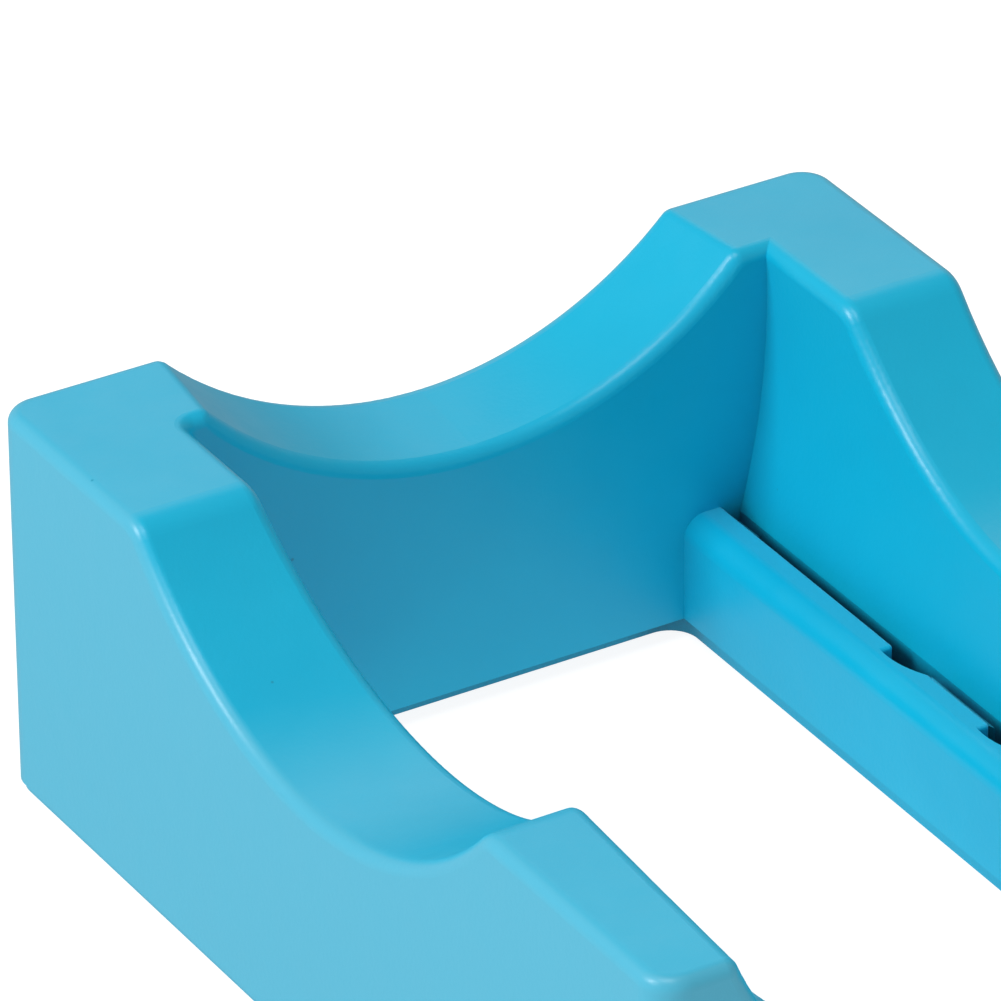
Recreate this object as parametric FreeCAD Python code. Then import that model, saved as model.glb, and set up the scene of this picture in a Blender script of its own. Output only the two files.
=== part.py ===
import FreeCAD, Part
import os
from math import cos, hypot, radians, sin

# Craft cradle that holds a tumbler or a cup lying on its side.
# A soft hollow moulding with four posts, a saddle in each wall, an open well
# in the middle and, along the right wall, a rack with pockets for hand tools.
# Millimetres.  +X is the rack side, +Y the end with the shallow saddle, +Z up.
# The origin is at the middle of the footprint, on the surface it stands on.

# Overall size
WIDTH = 116.0
LENGTH = 152.0
HEIGHT = 52.5
OUTER_CORNER = 4.3

# Base plate that closes the hollow moulding from below, thicker around the well
PLATE = 1.0
PLATE_OUTER_INSET = 0.5
COLLAR_TOP = 3.0
COLLAR_WIDTH = 6.0
COLLAR_SIDE_INSET = 1.5
COLLAR_END_INSET = 3.3
PLATE_CORNER = 4.0
TONGUE_TOP = 4.5
TONGUE_WIDTH = 1.6
TONGUE_CLEARANCE = 0.2

# Well: half sizes of the opening at its foot; above it the left wall leans out,
# and the right wall bulges out to its widest at mid height
WELL_HALF_Y = 60.2
WELL_HALF_X = 37.6
WELL_CORNER = 1.6
LEFT_LEAN_START = 26.0
LEFT_TOP_X = 41.0
RIGHT_BEND_START = 16.0
RIGHT_WIDEST_Z = 45.0
RIGHT_WIDEST_X = 41.4

# Saddle across the side walls, a cylinder along X
SIDE_RADIUS = 52.6
SIDE_AXIS_Y = 2.1
SIDE_AXIS_Z = 86.6

# Saddle through the end walls, a cone along Y that drops towards the front
BACK_RADIUS = 50.8
BACK_AXIS_Z = 89.0
FRONT_RADIUS = 51.0
FRONT_AXIS_Z = 71.0
CONE_OVERRUN = 20.0

# Rounding of the moulding: between post tops and side saddles, and elsewhere
SHOULDER = 5.0
EDGE = 1.8

# Hollow inside the moulding, with moulded ribs across it
WALL = 4.0
RIB = 2.5
RIB_FOOT = 5.0
SIDE_RIBS_Y = (-48.0, -23.0, 2.0, 27.0, 52.0)
END_RIBS_X = (-22.0, 0.0, 22.0)

# Tool rack along the right wall
RACK_FACE_X = 29.4
RACK_TOP = 17.5
RACK_ROUND = 3.0
RIM_X = 34.9
RIM_EDGE = 0.4
WEB_DROP = 3.0

# Pockets behind the rim, each with a scooped notch in the rim at its front end
POCKET_FLOOR = 5.0
POCKET_TAPER = 7.0
LONG_POCKET_BACK = 59.9
NOTCH_FRONT = 12.2
NOTCH_PITCH = 21.4
NOTCH_COUNT = 4
NOTCH_LENGTH = 8.5
NOTCH_DEPTH = 2.8
NOTCH_FLAT = 1.5
NOTCH_TILT = 55.0
NOTCH_REACH = 4.0
NOTCH_ROUND = 0.5
SHORT_POCKET = 15.7

# How far cutting tools run past what they cut
CUT = 10.0


def upright_edges(shape):
    """Straight edges that run mostly along Z."""
    return [e for e in shape.Edges if abs(e.tangentAt(e.FirstParameter).z) > 0.9]


def middle(edge):
    """Point halfway along an edge."""
    return edge.valueAt((edge.FirstParameter + edge.LastParameter) / 2)


def box(x0, x1, y0, y1, z0, z1):
    """Box between two corners."""
    return Part.makeBox(x1 - x0, y1 - y0, z1 - z0, FreeCAD.Vector(x0, y0, z0))


def rounded_box(x0, x1, y0, y1, z0, z1, corner):
    """Box with its four upright edges rounded."""
    block = box(x0, x1, y0, y1, z0, z1)
    return block.makeFillet(corner, upright_edges(block))


def centred_box(half_x, half_y, z0, z1, corner):
    """Rounded box centred on the Z axis."""
    return rounded_box(-half_x, half_x, -half_y, half_y, z0, z1, corner)


def right_wall_x(z):
    """Inner face of the right wall where it bends outward, at height z."""
    out = RIGHT_WIDEST_X - WELL_HALF_X
    up = RIGHT_WIDEST_Z - RIGHT_BEND_START
    radius = (out ** 2 + up ** 2) / (2 * out)
    return RIGHT_WIDEST_X - radius + (radius ** 2 - (z - RIGHT_WIDEST_Z) ** 2) ** 0.5


def well_void(grow):
    """The well between the walls, grown by a wall thickness."""
    z0 = PLATE - CUT
    z1 = HEIGHT + CUT
    slope = (LEFT_TOP_X - WELL_HALF_X) / (HEIGHT - LEFT_LEAN_START)
    reach = WELL_HALF_Y + grow
    bend = [FreeCAD.Vector(right_wall_x(z) + grow, -reach, z)
            for z in (RIGHT_BEND_START, RIGHT_WIDEST_Z, z1)]
    left = [(-LEFT_TOP_X - slope * CUT - grow, z1), (-WELL_HALF_X - grow, LEFT_LEAN_START),
            (-WELL_HALF_X - grow, z0), (WELL_HALF_X + grow, z0)]
    points = [bend[2], *[FreeCAD.Vector(x, -reach, z) for x, z in left], bend[0]]
    edges = [Part.makeLine(a, b) for a, b in zip(points, points[1:])]
    edges.append(Part.Arc(*bend).toShape())
    block = Part.Face(Part.Wire(edges)).extrude(FreeCAD.Vector(0, 2 * reach, 0))
    left_corners = [e for e in upright_edges(block) if middle(e).x < 0]
    return block.makeFillet(WELL_CORNER + grow, left_corners)


def side_saddle(grow):
    """Cylinder across the side walls."""
    base = FreeCAD.Vector(-WIDTH, SIDE_AXIS_Y, SIDE_AXIS_Z)
    return Part.makeCylinder(SIDE_RADIUS + grow, 2 * WIDTH, base, FreeCAD.Vector(1, 0, 0))


def end_saddle(grow):
    """Cone through both end walls, its axis falling towards the front."""
    fall = (BACK_AXIS_Z - FRONT_AXIS_Z) / LENGTH
    growth = (FRONT_RADIUS - BACK_RADIUS) / LENGTH
    start = FreeCAD.Vector(0, LENGTH / 2 + CONE_OVERRUN, BACK_AXIS_Z + fall * CONE_OVERRUN)
    run = LENGTH + 2 * CONE_OVERRUN
    small = BACK_RADIUS - growth * CONE_OVERRUN + grow
    large = FRONT_RADIUS + growth * CONE_OVERRUN + grow
    direction = FreeCAD.Vector(0, -1, -fall)
    return Part.makeCone(small, large, run * hypot(1, fall), start, direction)


def walls(inset, z0, corner):
    """Posts and walls around the well, inset on every side but the underside."""
    block = centred_box(WIDTH / 2 - inset, LENGTH / 2 - inset, z0, HEIGHT - inset, corner)
    return block.cut([well_void(inset), side_saddle(inset), end_saddle(inset)])


def hollow():
    """Space inside the walls, open below, with the ribs left standing."""
    space = walls(WALL, PLATE - CUT, OUTER_CORNER)
    side_ribs = [box(-WIDTH, WIDTH, y - RIB / 2, y + RIB / 2, RIB_FOOT, HEIGHT) for y in SIDE_RIBS_Y]
    end_ribs = [box(x - RIB / 2, x + RIB / 2, -LENGTH, LENGTH, RIB_FOOT, HEIGHT) for x in END_RIBS_X]
    return space.cut(side_ribs + end_ribs)


def around_well(x0, x1, y, corner):
    """Rounded box through the base, from x0 to x1 and y either side of the middle."""
    return rounded_box(x0, x1, -y, y, -CUT, COLLAR_TOP, corner)


def cradle_shell():
    """The soft moulding: outer form with rounded edges, less its hollow."""
    form = walls(0, PLATE, OUTER_CORNER)
    tops = [e for e in form.Edges if abs(middle(e).z - HEIGHT) < 0.01]
    shoulders = [e for e in tops if e.Length > 10 and abs(e.tangentAt(e.FirstParameter).x) > 0.9
                 and abs(middle(e).y) < WELL_HALF_Y]
    form = form.makeFillet(SHOULDER, shoulders)
    upright = upright_edges(form)
    bends = [e for e in form.Edges if e.Length > LENGTH / 2
             and middle(e).z < SIDE_AXIS_Z - SIDE_RADIUS - EDGE]
    rounded = [e for e in form.Edges if middle(e).z > PLATE + 1
               and not any(e.isSame(other) for other in upright + bends)]
    foot = around_well(-WELL_HALF_X - COLLAR_WIDTH, WELL_HALF_X + COLLAR_WIDTH,
                       WELL_HALF_Y + COLLAR_WIDTH, PLATE_CORNER)
    return form.makeFillet(EDGE, rounded).cut([hollow(), foot])


def base_plate():
    """Thin plate under the walls and the rack, with a collar and tongues that enter the hollow."""
    half_x = WIDTH / 2 - PLATE_OUTER_INSET
    half_y = LENGTH / 2 - PLATE_OUTER_INSET
    plate = centred_box(half_x, half_y, 0, PLATE, PLATE_CORNER)
    collar = around_well(-WELL_HALF_X - COLLAR_WIDTH, WELL_HALF_X + COLLAR_WIDTH,
                         WELL_HALF_Y + COLLAR_WIDTH, PLATE_CORNER)
    below = box(-WIDTH, WIDTH, -LENGTH, LENGTH, -2 * CUT, 0)
    hole = around_well(-WELL_HALF_X - COLLAR_SIDE_INSET, RACK_FACE_X + COLLAR_SIDE_INSET,
                       WELL_HALF_Y + COLLAR_END_INSET, PLATE_CORNER)
    outer_x = WIDTH / 2 - WALL - TONGUE_CLEARANCE
    outer_y = LENGTH / 2 - WALL - TONGUE_CLEARANCE
    outer = centred_box(outer_x, outer_y, PLATE / 2, TONGUE_TOP, OUTER_CORNER)
    outer_hole = centred_box(outer_x - TONGUE_WIDTH, outer_y - TONGUE_WIDTH, -CUT, CUT,
                             OUTER_CORNER - TONGUE_WIDTH)
    return plate.fuse([collar.cut(below), outer.cut(outer_hole)]).cut(hole).removeSplitter()


def arc(centre_x, centre_z, radius, start, end):
    """Arc in the XZ plane between two angles in degrees, anticlockwise from +X."""
    turns = [radians(a) for a in (start, (start + end) / 2, end)]
    return Part.Arc(*[FreeCAD.Vector(centre_x + radius * cos(t), 0, centre_z + radius * sin(t))
                      for t in turns]).toShape()


def rack_section():
    """Outline of the rack in the XZ plane: ledge, rim, and the webs behind the rim."""
    web = RACK_TOP - WEB_DROP
    points = ((RIM_X, RACK_TOP - RIM_EDGE), (RIM_X, web), (WIDTH / 2, web), (WIDTH / 2, COLLAR_TOP),
              (RACK_FACE_X, COLLAR_TOP), (RACK_FACE_X, RACK_TOP - RACK_ROUND))
    corners = [FreeCAD.Vector(x, 0, z) for x, z in points]
    edges = [Part.makeLine(a, b) for a, b in zip(corners, corners[1:])]
    front = RACK_FACE_X + RACK_ROUND
    edges.append(arc(front, RACK_TOP - RACK_ROUND, RACK_ROUND, 180, 90))
    edges.append(Part.makeLine(FreeCAD.Vector(front, 0, RACK_TOP),
                               FreeCAD.Vector(RIM_X - RIM_EDGE, 0, RACK_TOP)))
    edges.append(arc(RIM_X - RIM_EDGE, RACK_TOP - RIM_EDGE, RIM_EDGE, 90, 0))
    return Part.Face(Part.Wire(edges))


def pocket(y0, y1):
    """Slot behind the rim, narrowing in a curve to a point at each end."""
    deep = WELL_HALF_X + RIM_EDGE - RIM_X
    radius = (deep ** 2 + POCKET_TAPER ** 2) / (2 * deep)
    half = POCKET_TAPER / 2
    short = radius - (radius ** 2 - half ** 2) ** 0.5
    plan = [(RIM_X, y0), (RIM_X + deep - short, y0 + half), (RIM_X + deep, y0 + POCKET_TAPER),
            (RIM_X + deep, y1 - POCKET_TAPER), (RIM_X + deep - short, y1 - half), (RIM_X, y1)]
    points = [FreeCAD.Vector(x, y, POCKET_FLOOR) for x, y in plan]
    edges = [Part.Arc(*points[:3]).toShape(), Part.makeLine(points[2], points[3]),
             Part.Arc(*points[3:]).toShape(), Part.makeLine(points[5], points[0])]
    return Part.Face(Part.Wire(edges)).extrude(FreeCAD.Vector(0, 0, HEIGHT))


def notch(y0):
    """Scoop in the rim: upright at its back end, sloping up to the rim at its front, y0."""
    tilt = radians(NOTCH_TILT)
    run = NOTCH_LENGTH - NOTCH_FLAT
    radius = run ** 2 / (2 * NOTCH_DEPTH * cos(tilt))
    y1 = y0 + NOTCH_LENGTH
    foot = FreeCAD.Vector(RIM_X + radius * sin(tilt), y1 - NOTCH_FLAT,
                          RACK_TOP - NOTCH_DEPTH + radius * cos(tilt))
    along = FreeCAD.Vector(cos(tilt), 0, -sin(tilt))
    scoop = Part.makeCylinder(radius, 2 * radius, foot - along * radius, along)
    reach = box(RIM_X - NOTCH_REACH, RIM_X + RIM_EDGE, y0 - 1, y1, 0, HEIGHT)
    return scoop.common(reach)


def tool_rack():
    """Strip along the foot of the right wall, with pockets and notches."""
    strip = rack_section().extrude(FreeCAD.Vector(0, 2 * WELL_HALF_Y, 0))
    strip.translate(FreeCAD.Vector(0, -WELL_HALF_Y, 0))
    fronts = [NOTCH_FRONT - i * NOTCH_PITCH for i in range(NOTCH_COUNT)]
    cuts = []
    for front in fronts:
        back = LONG_POCKET_BACK if front == NOTCH_FRONT else front + SHORT_POCKET
        cuts.append(pocket(front, back))
        cuts.append(notch(front))
    rack = strip.cut(cuts).common(well_void(0))
    backs = [front + NOTCH_LENGTH for front in fronts]
    corners = [e for e in rack.Edges if middle(e).z > RACK_TOP - RIM_EDGE
               and any(abs(middle(e).y - back) < 0.01 for back in backs)]
    return rack.makeFillet(NOTCH_ROUND, corners)


NODES = {
    "cradle_shell": cradle_shell,
    "base_plate": base_plate,
    "tool_rack": tool_rack,
}

os.makedirs("parts", exist_ok=True)
for name, make in NODES.items():
    shape = make()
    shape.exportStep("parts/" + name + ".step")
    print(name, shape.isValid(), len(shape.Solids), round(shape.Volume / 1000, 1), "cm3")
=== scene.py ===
import bpy
from math import cos, radians, sin
from mathutils import Matrix, Vector


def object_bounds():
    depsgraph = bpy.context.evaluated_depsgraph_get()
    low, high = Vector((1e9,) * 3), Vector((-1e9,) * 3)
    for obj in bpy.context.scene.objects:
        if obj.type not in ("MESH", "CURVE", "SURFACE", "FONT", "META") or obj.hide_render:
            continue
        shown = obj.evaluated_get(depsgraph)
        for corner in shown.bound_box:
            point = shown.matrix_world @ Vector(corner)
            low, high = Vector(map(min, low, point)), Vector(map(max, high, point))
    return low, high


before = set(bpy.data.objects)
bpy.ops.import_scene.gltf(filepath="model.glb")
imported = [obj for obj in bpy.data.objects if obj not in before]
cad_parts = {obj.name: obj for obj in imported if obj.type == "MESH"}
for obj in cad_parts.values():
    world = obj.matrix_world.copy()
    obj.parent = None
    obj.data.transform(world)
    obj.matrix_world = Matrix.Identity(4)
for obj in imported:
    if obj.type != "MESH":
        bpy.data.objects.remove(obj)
cad_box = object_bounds()
low, high = cad_box
middle = (low + high) / 2

# Camera: a long lens, looking down past the left front corner
AZIMUTH = -30.554
ELEVATION = 30.242
ROLL = -0.578
DISTANCE = 1.2477
LENS = 379.74
TARGET = Vector((-0.0168, 0.0267, 0.0508))

# Studio: a white surface that glows a little, a white surround and three soft lights
FLOOR_SIZE = 8.0
FLOOR_COLOUR = (0.26, 0.26, 0.26, 1.0)
FLOOR_GLOW = 0.90
FLOOR_ROUGHNESS = 0.9
FLOOR_SPECULAR = 0.1
SURROUND = 0.38
LIGHTS = (
    # name, azimuth, elevation, distance, width, watts
    ("key", -100, 38, 1.3, 0.40, 9.4),
    ("top", -60, 72, 1.3, 0.6, 5.4),
    ("back", 150, 36, 1.3, 0.7, 1.2),
)

# Silicone, linear colours: inner walls, clouds in them, painted light on outer faces and tops, painted
# shade in narrow gaps, and specks
BLUE = (0.002, 0.430, 0.650, 1.0)
BLUE_CLOUD = (0.001, 0.405, 0.625, 1.0)
# Painted light: a paler colour laid on outer faces and tops
PAINTED_LIGHT_OUTSIDE = (0.070, 0.420, 0.590, 1.0)
# How far the painted light reaches onto faces that look up
PAINTED_LIGHT_ON_TOPS = 0.24
# Painted shade: a dark colour laid deep in narrow gaps
PAINTED_GAP_SHADE = (0.0, 0.050, 0.110, 1.0)
SPECK = (0.006, 0.280, 0.430, 1.0)

# Silicone, surface.  Scales are per metre, distances in metres
SILICONE_IOR = 1.41
SPECULAR_LEVEL = 0.55
SHEEN = 0.02
SHEEN_ROUGHNESS = 0.45
ROUGHNESS = (0.30, 0.38)
GLOSS_SCALE = 160.0
CLOUD_SCALE = 38.0
SPECK_SCALE = 95.0
SPECK_EDGE = (0.016, 0.028)
# Reach and openness of the painted shade in narrow gaps
GAP_REACH = 0.008
GAP_OPENNESS = (0.15, 0.40)
WAVE_SCALE = 110.0
WAVE_HEIGHT = 0.0004
WAVE_STRENGTH = 0.30
GRAIN_SCALE = 1400.0
GRAIN_HEIGHT = 0.00006
GRAIN_STRENGTH = 0.35

# The base plate is a little darker than the moulding and the rack
TINTS = {"cradle_shell": 1.0, "base_plate": 0.96, "tool_rack": 1.0}


def direction(azimuth, elevation):
    """Unit vector from the object towards an azimuth and an elevation in degrees."""
    a, e = radians(azimuth), radians(elevation)
    return Vector((sin(a) * cos(e), -cos(a) * cos(e), sin(e)))


def link(obj):
    bpy.context.scene.collection.objects.link(obj)
    return obj


def facing(back):
    """Rotation of a camera or a light that looks along -back."""
    return (-back).to_track_quat("-Z", "Y").to_matrix().to_4x4()


def add_camera():
    back = direction(AZIMUTH, ELEVATION)
    data = bpy.data.cameras.new("camera")
    data.lens = LENS
    data.sensor_width = 36.0
    data.clip_start = 0.01
    camera = link(bpy.data.objects.new("camera", data))
    place = Matrix.Translation(TARGET + back * DISTANCE)
    camera.matrix_world = place @ facing(back) @ Matrix.Rotation(radians(ROLL), 4, "Z")
    bpy.context.scene.camera = camera


def add_floor():
    """White floor that glows; it is left out of glossy reflections, so inner walls stay deep blue."""
    half = FLOOR_SIZE / 2
    mesh = bpy.data.meshes.new("floor")
    corners = [(-half, -half, 0), (half, -half, 0), (half, half, 0), (-half, half, 0)]
    mesh.from_pydata(corners, [], [(0, 1, 2, 3)])
    material = bpy.data.materials.new("floor")
    material.use_nodes = True
    shader = material.node_tree.nodes["Principled BSDF"]
    shader.inputs["Base Color"].default_value = FLOOR_COLOUR
    shader.inputs["Roughness"].default_value = FLOOR_ROUGHNESS
    shader.inputs["Specular IOR Level"].default_value = FLOOR_SPECULAR
    shader.inputs["Emission Color"].default_value = (1.0, 1.0, 1.0, 1.0)
    shader.inputs["Emission Strength"].default_value = FLOOR_GLOW
    mesh.materials.append(material)
    floor = link(bpy.data.objects.new("floor", mesh))
    floor.visible_glossy = False


def add_light(name, azimuth, elevation, distance, width, watts):
    """A square soft light that faces the object."""
    data = bpy.data.lights.new(name, "AREA")
    data.size = width
    data.energy = watts
    back = direction(azimuth, elevation)
    light = link(bpy.data.objects.new(name, data))
    light.matrix_world = Matrix.Translation(middle + back * distance) @ facing(back)


def add_surround():
    world = bpy.data.worlds.new("surround")
    world.use_nodes = True
    background = world.node_tree.nodes["Background"]
    background.inputs["Color"].default_value = (1.0, 1.0, 1.0, 1.0)
    background.inputs["Strength"].default_value = SURROUND
    bpy.context.scene.world = world


class Nodes:
    """Adds nodes to a material and links them, left to right."""

    def __init__(self, material):
        material.use_nodes = True
        self.tree = material.node_tree
        self.shader = self.tree.nodes["Principled BSDF"]
        self.place = self.add("ShaderNodeTexCoord").outputs["Object"]

    def add(self, kind, **settings):
        node = self.tree.nodes.new(kind)
        for name, value in settings.items():
            setattr(node, name, value)
        return node

    def join(self, output, socket):
        self.tree.links.new(output, socket)

    def noise(self, scale, detail=2.0, roughness=0.5):
        node = self.add("ShaderNodeTexNoise")
        node.inputs["Scale"].default_value = scale
        node.inputs["Detail"].default_value = detail
        node.inputs["Roughness"].default_value = roughness
        self.join(self.place, node.inputs["Vector"])
        return node.outputs["Fac"]

    def spread(self, value, low0, high0, low1, high1):
        """Map value from one range to another, clamped."""
        node = self.add("ShaderNodeMapRange")
        for socket, number in zip(list(node.inputs)[1:5], (low0, high0, low1, high1)):
            socket.default_value = number
        self.join(value, node.inputs["Value"])
        return node.outputs["Result"]

    def blend(self, factor, first, second):
        """Mix of two colours; first may be a colour or an output."""
        node = self.add("ShaderNodeMix", data_type="RGBA")
        for socket, colour in ((node.inputs[6], first), (node.inputs[7], second)):
            if isinstance(colour, tuple):
                socket.default_value = colour
            else:
                self.join(colour, socket)
        self.join(factor, node.inputs[0])
        return node.outputs[2]

    def painted_light_mask(self):
        """Mask for painted light: 1 on faces that look away from the middle, less on faces that look
        up, 0 on inner walls.
        """
        normal = self.add("ShaderNodeTexCoord").outputs["Normal"]
        flat = self.add("ShaderNodeVectorMath", operation="MULTIPLY")
        flat.inputs[1].default_value = (1.0, 1.0, 0.0)
        self.join(self.place, flat.inputs[0])
        outward = self.add("ShaderNodeVectorMath", operation="NORMALIZE")
        self.join(flat.outputs[0], outward.inputs[0])
        lifted = self.add("ShaderNodeVectorMath", operation="ADD")
        lifted.inputs[1].default_value = (0.0, 0.0, PAINTED_LIGHT_ON_TOPS)
        self.join(outward.outputs[0], lifted.inputs[0])
        away = self.add("ShaderNodeVectorMath", operation="DOT_PRODUCT")
        self.join(lifted.outputs[0], away.inputs[0])
        self.join(normal, away.inputs[1])
        return self.spread(away.outputs["Value"], 0.1, 0.6, 0.0, 1.0)

    def gap_shade_mask(self):
        """Mask for painted shade: 1 deep in a narrow gap, 0 on open faces and in ordinary corners."""
        node = self.add("ShaderNodeAmbientOcclusion", samples=16)
        node.inputs["Distance"].default_value = GAP_REACH
        return self.spread(node.outputs["AO"], *GAP_OPENNESS, 1.0, 0.0)

    def bump(self, height, distance, strength, before=None):
        node = self.add("ShaderNodeBump")
        node.inputs["Distance"].default_value = distance
        node.inputs["Strength"].default_value = strength
        self.join(height, node.inputs["Height"])
        if before:
            self.join(before, node.inputs["Normal"])
        return node.outputs["Normal"]


def silicone(name, tint):
    """Moulded silicone: cloudy colour, painted light on outer faces and tops, painted shade in narrow
    gaps, satin with a fine grain, faint waves and dust specks.
    """
    material = bpy.data.materials.new(name)
    n = Nodes(material)
    first, second = [tuple(c * tint for c in colour[:3]) + (1.0,) for colour in (BLUE, BLUE_CLOUD)]
    cloud = n.spread(n.noise(CLOUD_SCALE, 3.0), 0.35, 0.65, 0.0, 1.0)
    colour = n.blend(cloud, first, second)
    cells = n.add("ShaderNodeTexVoronoi")
    cells.inputs["Scale"].default_value = SPECK_SCALE
    n.join(n.place, cells.inputs["Vector"])
    dust = n.spread(cells.outputs["Distance"], *SPECK_EDGE, 1.0, 0.0)
    # Painted light: outer faces and tops are made paler
    colour = n.blend(n.painted_light_mask(), colour, PAINTED_LIGHT_OUTSIDE)
    colour = n.blend(dust, colour, SPECK)
    # Painted shade: narrow gaps are darkened towards deep blue
    n.join(n.blend(n.gap_shade_mask(), colour, PAINTED_GAP_SHADE), n.shader.inputs["Base Color"])
    grain = n.noise(GRAIN_SCALE, 2.0, 0.6)
    n.join(n.spread(n.noise(GLOSS_SCALE, 4.0, 0.6), 0.3, 0.7, *ROUGHNESS), n.shader.inputs["Roughness"])
    waves = n.bump(n.noise(WAVE_SCALE, 1.0), WAVE_HEIGHT, WAVE_STRENGTH)
    n.join(n.bump(grain, GRAIN_HEIGHT, GRAIN_STRENGTH, waves), n.shader.inputs["Normal"])
    n.shader.inputs["IOR"].default_value = SILICONE_IOR
    n.shader.inputs["Specular IOR Level"].default_value = SPECULAR_LEVEL
    n.shader.inputs["Sheen Weight"].default_value = SHEEN
    n.shader.inputs["Sheen Roughness"].default_value = SHEEN_ROUGHNESS
    return material


add_camera()
add_floor()
add_surround()
for light in LIGHTS:
    add_light(*light)
for name, tint in TINTS.items():
    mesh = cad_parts[name].data
    mesh.materials.clear()
    mesh.materials.append(silicone(name + "_silicone", tint))
bpy.context.scene.view_settings.view_transform = "Standard"
